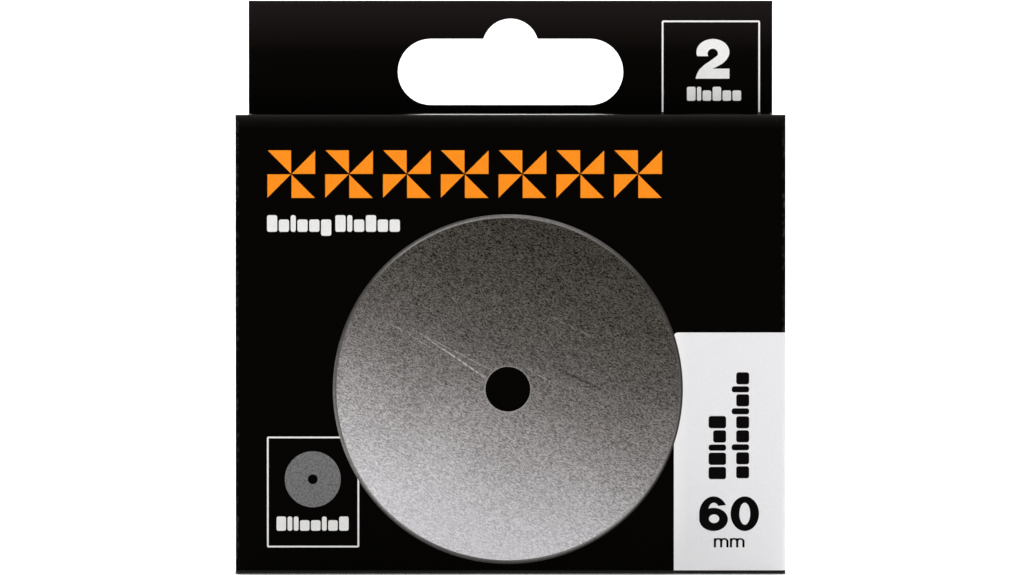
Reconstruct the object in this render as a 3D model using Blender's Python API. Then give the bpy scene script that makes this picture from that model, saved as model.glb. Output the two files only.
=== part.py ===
"""Hang pack of two 60 mm rotary cutter blades, modelled piece by piece.

A board sleeve, closed at the bottom by a tuck flap, holds a folded board tray
that slides up out of it. The tray ends in a header of two layers with a hang
hole, and carries a round plastic case. Two blades, each on a disc of oiled
paper, lie on the case's centre post under a lid with a twist lock.

X points to the right, Y to the back and Z up, in metres. The origin is the
middle of the pack's footprint, on the surface that the pack stands on. Each
board is one flat panel per side, split at its creases.
"""

import math

import bmesh
import bpy
from mathutils import Matrix, Vector

MM = 0.001

# Board and clearances
BOARD = 0.5 * MM  # thickness of every board panel
LAYER_GAP = 0.1 * MM  # between panels that are glued or creased together
SLIDE_GAP = 0.3 * MM  # between pieces that pass each other

# Sleeve
SLEEVE_WIDTH = 94.3 * MM
SLEEVE_DEPTH = 11.0 * MM
SLEEVE_HEIGHT = 78.8 * MM
SIDE_DROP = 0.8 * MM  # how far the sides and back stop below the front's top edge
GLUE_FLAP_INSET = 1.6 * MM

# Bottom closure
CREASE_HEIGHT = 0.6 * MM  # of the crease that the flap turns on
TONGUE_LENGTH = 4.4 * MM
TONGUE_LEAN = 0.7 * MM  # how far the tip leans inwards, so that it swings clear
TONGUE_WIDTH = 86.0 * MM
TONGUE_CORNER = 2.0 * MM
DUST_FLAP_LENGTH = 12.5 * MM
DUST_FLAP_BACK = 3.2 * MM
DUST_FLAP_TAPER = 1.2 * MM

# Tray and header
TRAY_WIDTH = 91.2 * MM
HEADER_WIDTH = 89.9 * MM
PACK_HEIGHT = 98.1 * MM
TRAY_BOTTOM = 7.5 * MM
SHOULDER_HEIGHT = 76.5 * MM  # where the tray narrows to the header's width
GLUE_TAB_HEIGHT = 9.0 * MM
GLUE_TAB_WIDTH = 84.0 * MM

# Hang hole: a slot with round ends and a round rise in the middle of its top edge
SLOT_LENGTH = 38.7 * MM
SLOT_HEIGHT = 11.4 * MM
SLOT_CENTRE_Z = 85.8 * MM
RISE_RADIUS = 4.85 * MM
RISE_CENTRE_Z = 90.1 * MM

# Case
CASE_WALL = 1.2 * MM
CASE_FLOOR = 0.8 * MM
LID_PLATE = 1.0 * MM
LID_BOSS_RADIUS = 28.7 * MM
LID_BOSS_RISE = 0.7 * MM
WINDOW_RADIUS = 29.0 * MM
LUG_COUNT = 3
LUG_SPAN = math.radians(24)
LUG_REACH = 0.8 * MM
LUG_HEIGHT = 0.8 * MM
POST_RADIUS = 3.9 * MM
SEAT_RADIUS = 9.0 * MM
SEAT_Y = 1.0 * MM

# Blades and papers
BLADE_RADIUS = 30.0 * MM
BLADE_BORE = 4.0 * MM
BLADE_THICKNESS = 0.3 * MM
BEVEL_WIDTH = 1.0 * MM
PAPER_RADIUS = 29.0 * MM
PAPER_BORE = 4.4 * MM
PAPER_THICKNESS = 0.1 * MM
STACK_GAP = 0.15 * MM

# Smoothness of round shapes
TURN_STEPS = 96
BORE_STEPS = 48
END_STEPS = 16
LUG_STEPS = 6

# Places that follow from the sizes above
HALF_WIDTH = SLEEVE_WIDTH / 2
FRONT = -SLEEVE_DEPTH / 2
BACK = SLEEVE_DEPTH / 2
FRONT_INNER = FRONT + BOARD
BACK_INNER = BACK - BOARD
SIDE_INNER = HALF_WIDTH - BOARD
SIDE_TOP = SLEEVE_HEIGHT - SIDE_DROP
FLAP_BACK = BACK_INNER - SLIDE_GAP
DUST_BOTTOM = BOARD + SLIDE_GAP
DUST_TOP = DUST_BOTTOM + BOARD

TRAY_HALF = TRAY_WIDTH / 2
HEADER_HALF = HEADER_WIDTH / 2
TRAY_FRONT = FRONT_INNER + SLIDE_GAP
TRAY_BACK = BACK_INNER - SLIDE_GAP
CARD_FRONT = TRAY_BACK - BOARD
LINING_BACK = CARD_FRONT - LAYER_GAP
LINING_FRONT = LINING_BACK - BOARD
PLATFORM_BACK = TRAY_FRONT + BOARD
LEDGE_BOTTOM = SLEEVE_HEIGHT - BOARD
TRAY_FLOOR = TRAY_BOTTOM + BOARD

CASE_Z = (TRAY_FLOOR + LEDGE_BOTTOM) / 2
CASE_CENTRE = Vector((0, 0, CASE_Z))
CASE_RADIUS = (LEDGE_BOTTOM - TRAY_FLOOR) / 2 - SLIDE_GAP
CASE_BACK = LINING_FRONT - SLIDE_GAP
LID_FRONT = PLATFORM_BACK + SLIDE_GAP
FLANGE_FRONT = CASE_BACK - CASE_FLOOR - SLIDE_GAP
SKIRT_BACK = FLANGE_FRONT - SLIDE_GAP
SKIRT_INNER = CASE_RADIUS - CASE_WALL
LUG_RADIUS = SKIRT_INNER - SLIDE_GAP
WALL_OUTER = LUG_RADIUS - LUG_REACH
WALL_INNER = WALL_OUTER - CASE_WALL
WALL_FRONT = LID_FRONT + LID_PLATE + SLIDE_GAP
LUG_FRONT = -1.2 * MM
LIP_FRONT = LUG_FRONT + LUG_HEIGHT + SLIDE_GAP


def clear_scene():
    for existing in list(bpy.data.objects):
        bpy.data.objects.remove(existing, do_unlink=True)


def make_material(name, colour, roughness, metallic=0.0, alpha=1.0):
    material = bpy.data.materials.new(name)
    material.use_nodes = True
    shader = material.node_tree.nodes["Principled BSDF"]
    shader.inputs["Base Color"].default_value = (*colour, 1.0)
    shader.inputs["Roughness"].default_value = roughness
    shader.inputs["Metallic"].default_value = metallic
    shader.inputs["Alpha"].default_value = alpha
    return material


def add_object(name, shape, material, origin=(0, 0, 0), smooth=False):
    """Turn a bmesh in pack coordinates into an object with the given origin."""
    bmesh.ops.remove_doubles(shape, verts=shape.verts, dist=1e-7)
    bmesh.ops.recalc_face_normals(shape, faces=shape.faces)
    bmesh.ops.translate(shape, verts=shape.verts, vec=-Vector(origin))
    mesh = bpy.data.meshes.new(name)
    shape.to_mesh(mesh)
    shape.free()
    mesh.materials.append(material)
    if smooth:
        mesh.shade_smooth()
        mesh.set_sharp_from_angle(angle=math.radians(30))
    piece = bpy.data.objects.new(name, mesh)
    piece.location = origin
    bpy.context.scene.collection.objects.link(piece)
    return piece


def add_joint_empty(name, place):
    """An empty on a joint's axis, which the moving pieces are parented to."""
    empty = bpy.data.objects.new(name, None)
    empty.empty_display_size = 0.01
    empty.location = place
    bpy.context.scene.collection.objects.link(empty)
    return empty


def hang_on(piece, empty):
    """Parent a piece to a joint's empty without moving it."""
    piece.parent = empty
    piece.matrix_parent_inverse = Matrix.Translation(-empty.location)


def add_box(name, low, high, material):
    size = Vector(high) - Vector(low)
    middle = (Vector(high) + Vector(low)) / 2
    shape = bmesh.new()
    bmesh.ops.create_cube(
        shape, size=1, matrix=Matrix.Translation(middle) @ Matrix.Diagonal((*size, 1))
    )
    return add_object(name, shape, material)


def add_prism(name, outline, travel, material):
    """A flat outline, given as 3-D points, pushed along travel."""
    shape = bmesh.new()
    face = shape.faces.new([shape.verts.new(point) for point in outline])
    pushed = bmesh.ops.extrude_face_region(shape, geom=[face])["geom"]
    moved = [item for item in pushed if isinstance(item, bmesh.types.BMVert)]
    bmesh.ops.translate(shape, verts=moved, vec=Vector(travel))
    return add_object(name, shape, material)


def add_turned(name, profile, material, steps=TURN_STEPS, start=0.0, span=math.tau):
    """Turn a closed profile of (radius, y) points about the case's axis."""
    shape = bmesh.new()
    ring = [shape.verts.new((radius, y, 0)) for radius, y in profile]
    edges = [shape.edges.new((ring[i - 1], ring[i])) for i in range(len(ring))]
    whole = span == math.tau
    caps = [] if whole else [shape.faces.new(ring)]
    swept = bmesh.ops.spin(
        shape, geom=ring + edges, cent=(0, 0, 0), axis=(0, 1, 0), angle=span, steps=steps
    )
    if not whole:
        last = [item for item in swept["geom_last"] if isinstance(item, bmesh.types.BMVert)]
        caps.append(bmesh.ops.contextual_create(shape, geom=last)["faces"][0])
    placing = Matrix.Translation(CASE_CENTRE) @ Matrix.Rotation(start, 4, "Y")
    bmesh.ops.transform(shape, matrix=placing, verts=shape.verts)
    return add_object(name, shape, material, origin=CASE_CENTRE, smooth=True)


def as_tool(piece):
    """Keep a Boolean's second shape in the file as a guide only."""
    piece.hide_render = True
    piece.display_type = "WIRE"
    return piece


def boolean(piece, tool, operation):
    modifier = piece.modifiers.new(f"{operation.title()} {tool.name}", "BOOLEAN")
    modifier.operation = operation
    modifier.object = tool
    modifier.solver = "EXACT"


def arc(centre, radius, first, last, steps):
    """(x, z) points along an arc, both ends included."""
    angles = [first + (last - first) * i / steps for i in range(steps + 1)]
    return [
        (centre[0] + radius * math.cos(a), centre[1] + radius * math.sin(a)) for a in angles
    ]


def make_sleeve(board):
    """The four walls, the glue flap inside the left one and the two dust flaps."""
    front_bottom = CREASE_HEIGHT + LAYER_GAP
    add_box(
        "sleeve_front",
        (-HALF_WIDTH, FRONT, front_bottom),
        (HALF_WIDTH, FRONT_INNER, SLEEVE_HEIGHT),
        board,
    )
    add_box("sleeve_back", (-HALF_WIDTH, BACK_INNER, 0), (HALF_WIDTH, BACK, SIDE_TOP), board)
    for name, side in (("left", -1), ("right", 1)):
        across = sorted((side * SIDE_INNER, side * HALF_WIDTH))
        add_box(
            f"sleeve_{name}",
            (across[0], FRONT_INNER + LAYER_GAP, 0),
            (across[1], BACK_INNER - LAYER_GAP, SIDE_TOP),
            board,
        )
        make_dust_flap(name, side, board)
    flap_outer = -SIDE_INNER + LAYER_GAP
    add_box(
        "sleeve_glue_flap",
        (flap_outer, FRONT_INNER + SLIDE_GAP, GLUE_FLAP_INSET),
        (flap_outer + BOARD, BACK_INNER - SLIDE_GAP, SIDE_TOP - GLUE_FLAP_INSET),
        board,
    )


def make_dust_flap(name, side, board):
    """A tapered flap folded in from a side wall, above the bottom flap."""
    outer = SIDE_INNER - LAYER_GAP
    tip = SIDE_INNER - DUST_FLAP_LENGTH
    front = FRONT_INNER + SLIDE_GAP
    back = DUST_FLAP_BACK
    outline = [
        (side * outer, front, DUST_BOTTOM),
        (side * tip, front + DUST_FLAP_TAPER / 2, DUST_BOTTOM),
        (side * tip, back - DUST_FLAP_TAPER, DUST_BOTTOM),
        (side * (tip + 2 * DUST_FLAP_TAPER), back, DUST_BOTTOM),
        (side * outer, back, DUST_BOTTOM),
    ]
    add_prism(f"dust_flap_{name}", outline, (0, 0, BOARD), board)


def make_closure(board):
    """The bottom flap and its tuck tongue, which swing on the front crease."""
    half = SIDE_INNER - SLIDE_GAP
    flap = add_box("bottom_flap", (-half, FRONT, 0), (half, FLAP_BACK, BOARD), board)
    base = BOARD + LAYER_GAP
    lean = Vector((0, -TONGUE_LEAN, TONGUE_LENGTH))
    along = lean.normalized()
    foot = Vector((0, FLAP_BACK, base))
    reach = lean.length
    half_tongue = TONGUE_WIDTH / 2
    inner = half_tongue - TONGUE_CORNER
    corner_height = reach - TONGUE_CORNER
    right = arc((inner, corner_height), TONGUE_CORNER, 0, math.pi / 2, END_STEPS // 2)
    left = arc((-inner, corner_height), TONGUE_CORNER, math.pi / 2, math.pi, END_STEPS // 2)
    flat = [(-half_tongue, 0), (half_tongue, 0), *right, *left]
    outline = [foot + Vector((x, 0, 0)) + along * height for x, height in flat]
    tongue = add_prism("tuck_tongue", outline, (0, -BOARD, 0), board)
    crease = add_joint_empty("closure_crease", (0, FRONT, CREASE_HEIGHT))
    hang_on(flap, crease)
    hang_on(tongue, crease)


def make_hang_hole_tool(board):
    """The hang hole's outline, pushed through both layers of the header."""
    end_radius = SLOT_HEIGHT / 2
    end_x = SLOT_LENGTH / 2 - end_radius
    top = SLOT_CENTRE_Z + end_radius
    rise_angle = math.asin((top - RISE_CENTRE_Z) / RISE_RADIUS)
    quarter = math.pi / 2
    outline = arc((end_x, SLOT_CENTRE_Z), end_radius, -quarter, quarter, END_STEPS)
    outline += arc(
        (0, RISE_CENTRE_Z), RISE_RADIUS, rise_angle, math.pi - rise_angle, END_STEPS
    )
    outline += arc((-end_x, SLOT_CENTRE_Z), end_radius, quarter, 3 * quarter, END_STEPS)
    points = [(x, LINING_FRONT - BOARD, z) for x, z in outline]
    return as_tool(add_prism("hang_hole_tool", points, (0, 4 * BOARD, 0), board))


def make_tray(board):
    """The sliding tray: card, header lining, ledge, platform, walls and glue tab."""
    hang_hole = make_hang_hole_tool(board)
    outline = [
        (-TRAY_HALF, CARD_FRONT, TRAY_BOTTOM),
        (TRAY_HALF, CARD_FRONT, TRAY_BOTTOM),
        (TRAY_HALF, CARD_FRONT, SHOULDER_HEIGHT),
        (HEADER_HALF, CARD_FRONT, SHOULDER_HEIGHT + TRAY_HALF - HEADER_HALF),
        (HEADER_HALF, CARD_FRONT, PACK_HEIGHT),
        (-HEADER_HALF, CARD_FRONT, PACK_HEIGHT),
        (-HEADER_HALF, CARD_FRONT, SHOULDER_HEIGHT + TRAY_HALF - HEADER_HALF),
        (-TRAY_HALF, CARD_FRONT, SHOULDER_HEIGHT),
    ]
    card = add_prism("hang_card", outline, (0, BOARD, 0), board)
    lining = add_box(
        "header_front",
        (-HEADER_HALF, LINING_FRONT, LEDGE_BOTTOM),
        (HEADER_HALF, LINING_BACK, PACK_HEIGHT),
        board,
    )
    for layer in (card, lining):
        boolean(layer, hang_hole, "DIFFERENCE")
    ledge = add_box(
        "tray_ledge",
        (-HEADER_HALF, TRAY_FRONT, LEDGE_BOTTOM),
        (HEADER_HALF, LINING_FRONT - LAYER_GAP, SLEEVE_HEIGHT),
        board,
    )
    platform = add_box(
        "tray_platform",
        (-HEADER_HALF, TRAY_FRONT, TRAY_BOTTOM),
        (HEADER_HALF, PLATFORM_BACK, LEDGE_BOTTOM - LAYER_GAP),
        board,
    )
    window_ends = (TRAY_FRONT - BOARD, PLATFORM_BACK + BOARD)
    window = as_tool(add_disc("window_tool", WINDOW_RADIUS, *window_ends, board))
    boolean(platform, window, "DIFFERENCE")
    floor = add_box(
        "tray_bottom",
        (-HEADER_HALF, PLATFORM_BACK + LAYER_GAP, TRAY_BOTTOM),
        (HEADER_HALF, LINING_BACK, TRAY_FLOOR),
        board,
    )
    tab_bottom = TRAY_FLOOR + LAYER_GAP
    tab = add_box(
        "tray_glue_tab",
        (-GLUE_TAB_WIDTH / 2, LINING_FRONT, tab_bottom),
        (GLUE_TAB_WIDTH / 2, LINING_BACK, tab_bottom + GLUE_TAB_HEIGHT),
        board,
    )
    pieces = [card, lining, ledge, platform, floor, tab]
    for name, side in (("left", -1), ("right", 1)):
        across = sorted((side * (TRAY_HALF - BOARD), side * TRAY_HALF))
        wall = add_box(
            f"tray_{name}",
            (across[0], TRAY_FRONT, DUST_TOP + SLIDE_GAP),
            (across[1], LINING_BACK, SHOULDER_HEIGHT),
            board,
        )
        pieces.append(wall)
    return pieces


def add_disc(name, radius, front, back, material):
    profile = [(0, front), (radius, front), (radius, back), (0, back)]
    return add_turned(name, profile, material)


def add_sectors(name, inner, outer, front, back, material):
    """Short ring sectors, evenly spaced, to be joined to a turned piece."""
    profile = [(inner, front), (outer, front), (outer, back), (inner, back)]
    tools = []
    for number in range(LUG_COUNT):
        start = number * math.tau / LUG_COUNT - LUG_SPAN / 2
        sector_name = f"{name}_{number + 1}"
        sector = add_turned(sector_name, profile, material, LUG_STEPS, start, LUG_SPAN)
        tools.append(as_tool(sector))
    return tools


def make_case_base(plastic):
    """The cup, with its flange, centre post, blade seat and three lock lugs."""
    floor_front = CASE_BACK - CASE_FLOOR
    post_front = LID_FRONT + LID_PLATE + 3 * SLIDE_GAP
    post_chamfer = 0.4 * MM
    profile = [
        (0, CASE_BACK),
        (CASE_RADIUS, CASE_BACK),
        (CASE_RADIUS, FLANGE_FRONT),
        (WALL_OUTER, FLANGE_FRONT),
        (WALL_OUTER, WALL_FRONT),
        (WALL_INNER, WALL_FRONT),
        (WALL_INNER, floor_front),
        (SEAT_RADIUS, floor_front),
        (SEAT_RADIUS, SEAT_Y),
        (POST_RADIUS, SEAT_Y),
        (POST_RADIUS, post_front + post_chamfer),
        (POST_RADIUS - post_chamfer, post_front),
        (0, post_front),
    ]
    base = add_turned("case_base", profile[::-1], plastic)
    root = WALL_OUTER - CASE_WALL / 2
    lugs = add_sectors("lug", root, LUG_RADIUS, LUG_FRONT, LUG_FRONT + LUG_HEIGHT, plastic)
    for lug in lugs:
        boolean(base, lug, "UNION")
    return base


def make_case_lid(plastic):
    """The lid, with its raised face, skirt, hub ring and three inner lock lips."""
    boss_front = LID_FRONT - LID_BOSS_RISE
    plate_back = LID_FRONT + LID_PLATE
    boss_back = boss_front + LID_PLATE
    boss_inner = LID_BOSS_RADIUS - LID_PLATE
    hub_inner = POST_RADIUS + SLIDE_GAP + LAYER_GAP
    hub_outer = hub_inner + 2 * CASE_WALL
    stack = 2 * (PAPER_THICKNESS + BLADE_THICKNESS) + 3 * STACK_GAP + LAYER_GAP
    hub_back = SEAT_Y - stack - STACK_GAP
    profile = [
        (0, boss_front),
        (LID_BOSS_RADIUS, boss_front),
        (LID_BOSS_RADIUS, LID_FRONT),
        (CASE_RADIUS, LID_FRONT),
        (CASE_RADIUS, SKIRT_BACK),
        (SKIRT_INNER, SKIRT_BACK),
        (SKIRT_INNER, plate_back),
        (boss_inner, plate_back),
        (boss_inner, boss_back),
        (hub_outer, boss_back),
        (hub_outer, hub_back),
        (hub_inner, hub_back),
        (hub_inner, boss_back),
        (0, boss_back),
    ]
    lid = add_turned("case_lid", profile, plastic)
    root = SKIRT_INNER + CASE_WALL / 2
    tip = WALL_OUTER + SLIDE_GAP
    lips = add_sectors("lip", tip, root, LIP_FRONT, LIP_FRONT + LUG_HEIGHT, plastic)
    for lip in lips:
        boolean(lid, lip, "UNION")
    return lid


def make_stack(steel, paper):
    """Paper, blade, paper and blade, from the seat towards the lid."""
    back = SEAT_Y - LAYER_GAP
    blades = []
    papers = []
    for number in (2, 1):
        front = back - PAPER_THICKNESS
        profile = [
            (PAPER_BORE, front),
            (PAPER_RADIUS, front),
            (PAPER_RADIUS, back),
            (PAPER_BORE, back),
        ]
        papers.append(add_turned(f"paper_disc_{number}", profile, paper, BORE_STEPS))
        back = front - STACK_GAP
        front = back - BLADE_THICKNESS
        blades.append(make_blade(f"blade_{number}", front, back, steel))
        back = front - STACK_GAP
    return blades, papers


def make_blade(name, front, back, steel):
    """A disc with a bore, ground to an edge from both faces."""
    shoulder = BLADE_RADIUS - BEVEL_WIDTH
    profile = [
        (BLADE_BORE, front),
        (shoulder, front),
        (BLADE_RADIUS, (front + back) / 2),
        (shoulder, back),
        (BLADE_BORE, back),
    ]
    return add_turned(name, profile, steel)


def main():
    clear_scene()
    black_board = make_material("black_board", (0.006, 0.005, 0.004), 0.35)
    inner_board = make_material("tray_board", (0.006, 0.005, 0.004), 0.35)
    grey_plastic = make_material("grey_plastic", (0.05, 0.052, 0.055), 0.4)
    clear_plastic = make_material("clear_plastic", (0.75, 0.77, 0.78), 0.2, alpha=0.4)
    blade_steel = make_material("blade_steel", (0.33, 0.32, 0.31), 0.3, metallic=1.0)
    oiled_paper = make_material("oiled_paper", (0.62, 0.5, 0.32), 0.6)

    make_sleeve(black_board)
    make_closure(black_board)
    riders = make_tray(inner_board)
    riders.append(make_case_base(grey_plastic))
    lid = make_case_lid(clear_plastic)
    blades, papers = make_stack(blade_steel, oiled_paper)
    slide = add_joint_empty("tray_slide", (0, 0, DUST_TOP + SLIDE_GAP))
    for piece in [*riders, lid, *blades, *papers]:
        hang_on(piece, slide)


main()
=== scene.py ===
"""Looks of the rotary cutter blade pack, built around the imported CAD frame.

The folded boards are rebuilt as bent sheets with rounded creases and a printed,
an inner and a cut face. The printing lies on them as thin films of ink. The lid
and the blades are turned again with finer rounds, and the other parts keep the
frame's shape.
"""

import math

import bmesh
import bpy
from mathutils import Matrix, Vector


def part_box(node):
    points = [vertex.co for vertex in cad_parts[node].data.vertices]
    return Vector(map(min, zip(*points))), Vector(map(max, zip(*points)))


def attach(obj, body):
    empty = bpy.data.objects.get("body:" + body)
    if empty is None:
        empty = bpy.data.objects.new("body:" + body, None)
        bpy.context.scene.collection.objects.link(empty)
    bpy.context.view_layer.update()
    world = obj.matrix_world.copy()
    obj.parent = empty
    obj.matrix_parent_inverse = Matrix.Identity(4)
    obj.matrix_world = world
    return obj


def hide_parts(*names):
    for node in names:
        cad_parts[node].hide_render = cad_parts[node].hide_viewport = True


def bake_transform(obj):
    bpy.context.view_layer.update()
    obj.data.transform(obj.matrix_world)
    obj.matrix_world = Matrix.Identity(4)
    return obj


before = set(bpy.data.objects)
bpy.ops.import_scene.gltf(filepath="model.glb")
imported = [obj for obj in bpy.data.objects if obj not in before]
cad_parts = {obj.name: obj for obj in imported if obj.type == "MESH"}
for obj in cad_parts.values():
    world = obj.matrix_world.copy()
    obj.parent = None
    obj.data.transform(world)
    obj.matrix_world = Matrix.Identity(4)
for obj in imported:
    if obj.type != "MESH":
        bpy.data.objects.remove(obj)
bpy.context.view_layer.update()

MM = 0.001

# Places taken from the frame
FRONT_LOW, FRONT_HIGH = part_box("sleeve_front")
BACK_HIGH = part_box("sleeve_back")[1]
FLAP_LOW, FLAP_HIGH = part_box("bottom_flap")
TONGUE_LOW, TONGUE_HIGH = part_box("tuck_tongue")
CARD_LOW, CARD_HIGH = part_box("hang_card")
HEADER_LOW, HEADER_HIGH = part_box("header_front")
LEDGE_LOW, LEDGE_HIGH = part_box("tray_ledge")
PLATFORM_LOW, PLATFORM_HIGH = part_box("tray_platform")
WALL_LOW, WALL_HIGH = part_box("tray_right")
TAB_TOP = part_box("tray_glue_tab")[1].z
BASE_LOW, BASE_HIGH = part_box("case_base")
LID_LOW, LID_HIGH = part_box("case_lid")

HALF_WIDTH = FRONT_HIGH.x
FRONT = FRONT_LOW.y
BACK = BACK_HIGH.y
SLEEVE_TOP = FRONT_HIGH.z
SIDE_TOP = BACK_HIGH.z
BOARD = FRONT_HIGH.y - FRONT_LOW.y
CASE_AXIS = (BASE_LOW + BASE_HIGH) / 2

# Board surfaces lie this far inside the CAD faces, which leaves room for the ink
SKIN = 0.04 * MM
INK = 0.01 * MM
THICK = BOARD - SKIN

CREASE_TOP = 1.6 * MM  # where the front wall hands over to the bottom crease
FOLD = 0.45 * MM  # centre radius of a crease

# Scratches in the pictured blade: start and end in mm, width in mm, light (+) or dark (-)
PICTURED_SCRATCHES = (
    ((-15.2, 41.1), (-3.7, 33.3), 0.24, 0.8),
    ((-18.1, 42.6), (-2.8, 34.8), 0.16, 0.4),
    ((-21.9, 44.0), (-13.5, 38.7), 0.16, 0.35),
    ((5.4, 36.6), (17.0, 31.0), 0.32, -0.8),
    ((2.0, 35.7), (8.2, 32.3), 0.16, 0.35),
    ((5.5, 44.9), (14.6, 40.4), 0.16, 0.2),
    ((-2.2, 24.6), (0.8, 22.8), 0.2, 0.5),
)

# Hang hole, as cut in both header layers
SLOT_HALF = 19.35 * MM
SLOT_RADIUS = 5.7 * MM
SLOT_Z = 85.8 * MM
RISE_RADIUS = 4.85 * MM
RISE_Z = 90.1 * MM

WINDOW_RADIUS = 29.0 * MM  # of the tray's window round the case
BEVEL_START = 29.0 * MM  # radius at which a blade's ground bevel begins

# The pictured blade on the front
PICTURE_CENTRE = (-0.45 * MM, 31.75 * MM)
PICTURE_RADIUS = 29.99 * MM
RIM_WIDTH = 0.62 * MM
PICTURED_BORE = 3.85 * MM

# The size panel: left edge, foot and top
PANEL_LEFT = 28.0 * MM
PANEL_LOW = 0.65 * MM
PANEL_HIGH = 41.48 * MM

PRINTED, INSIDE, CUT = 0, 1, 2  # material slots of a board

SHEEN = 0.012  # specular level of the varnished print
GLOSS = 0.34  # roughness of the varnished print


# ---- materials


def srgb(red, green, blue):
    """A linear colour with alpha, from 0 to 255 display values."""

    def linear(value):
        value /= 255
        return value / 12.92 if value <= 0.04045 else ((value + 0.055) / 1.055) ** 2.4

    return (linear(red), linear(green), linear(blue), 1.0)


def add_node(tree, kind, inputs=(), **settings):
    """A node with its settings; each input is a value or another node's socket."""
    node = tree.nodes.new(kind)
    for key, value in settings.items():
        setattr(node, key, value)
    for key, value in dict(inputs).items():
        if isinstance(value, bpy.types.NodeSocket):
            tree.links.new(value, node.inputs[key])
        else:
            node.inputs[key].default_value = value
    return node


def add_ramp(tree, factor, stops):
    """A colour ramp; each stop is (position, grey level or colour)."""
    node = add_node(tree, "ShaderNodeValToRGB", {0: factor})
    elements = node.color_ramp.elements
    while len(elements) < len(stops):
        elements.new(0.5)
    for element, (position, colour) in zip(elements, stops):
        element.position = position
        element.color = colour if isinstance(colour, tuple) else (colour,) * 3 + (1,)
    return node.outputs[0]


class Shader:
    """A material under construction: short calls for the nodes used here."""

    def __init__(self, name, roughness, **constants):
        self.material = bpy.data.materials.new(name)
        self.material.use_nodes = True
        self.tree = self.material.node_tree
        self.surface = self.tree.nodes["Principled BSDF"]
        self.surface.inputs["Roughness"].default_value = roughness
        for socket, value in constants.items():
            self.surface.inputs[socket.replace("_", " ")].default_value = value
        self.place = self.tree.nodes.new("ShaderNodeTexCoord").outputs["Object"]
        split = add_node(self.tree, "ShaderNodeSeparateXYZ", {0: self.place})
        self.x, self.y, self.z = split.outputs

    def value(self, kind, inputs=(), **settings):
        """The first output of a new node."""
        return add_node(self.tree, kind, inputs, **settings).outputs[0]

    def math(self, operation, *operands):
        return self.value("ShaderNodeMath", enumerate(operands), operation=operation)

    def from_axis(self, axis_x, axis_z):
        """How far a place is across, up and straight from an axis along Y."""
        across = self.math("SUBTRACT", self.x, axis_x)
        up = self.math("SUBTRACT", self.z, axis_z)
        squares = self.math("MULTIPLY_ADD", across, across, self.math("MULTIPLY", up, up))
        return across, up, self.math("SQRT", squares)

    def stretch(self, scale, turn=(0, 0, 0)):
        """Coordinates that draw a texture out by scale along turned axes."""
        inputs = {0: self.place, "Scale": scale, "Rotation": turn}
        return self.value("ShaderNodeMapping", inputs, vector_type="TEXTURE")

    def noise(self, scale, detail=2.0, vector=None):
        inputs = {"Vector": vector or self.place, "Scale": scale, "Detail": detail}
        return self.value("ShaderNodeTexNoise", inputs)

    def cells(self, scale, vector):
        """A random level for each cell of an irregular mesh."""
        inputs = {"Vector": vector, "Scale": scale}
        colour = add_node(self.tree, "ShaderNodeTexVoronoi", inputs).outputs["Color"]
        return self.value("ShaderNodeSeparateColor", {0: colour})

    def ramp(self, factor, stops):
        return add_ramp(self.tree, factor, stops)

    def span(self, value, low, high, to_low=0.0, to_high=1.0):
        """Rescale value from low..high to to_low..to_high, clamped."""
        inputs = enumerate((value, low, high, to_low, to_high))
        return self.value("ShaderNodeMapRange", inputs, clamp=True)

    def even(self, noise, to_low=0.0, to_high=1.0):
        """Spread the usual range of a noise over to_low..to_high."""
        return self.span(noise, 0.3, 0.7, to_low, to_high)

    def mix(self, factor, first, second, blend="MIX"):
        inputs = {0: factor, 6: first, 7: second}
        settings = {"data_type": "RGBA", "blend_type": blend}
        return add_node(self.tree, "ShaderNodeMix", inputs, **settings).outputs[2]

    def bump(self, height, distance, strength, under=None):
        inputs = {"Height": height, "Distance": distance, "Strength": strength}
        if under is not None:
            inputs["Normal"] = under
        return self.value("ShaderNodeBump", inputs)

    def finish(self, **sockets):
        """Link the surface's colour, roughness or normal, and give the material."""
        for socket, value in sockets.items():
            self.tree.links.new(value, self.surface.inputs[socket.replace("_", " ")])
        return self.material


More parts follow.
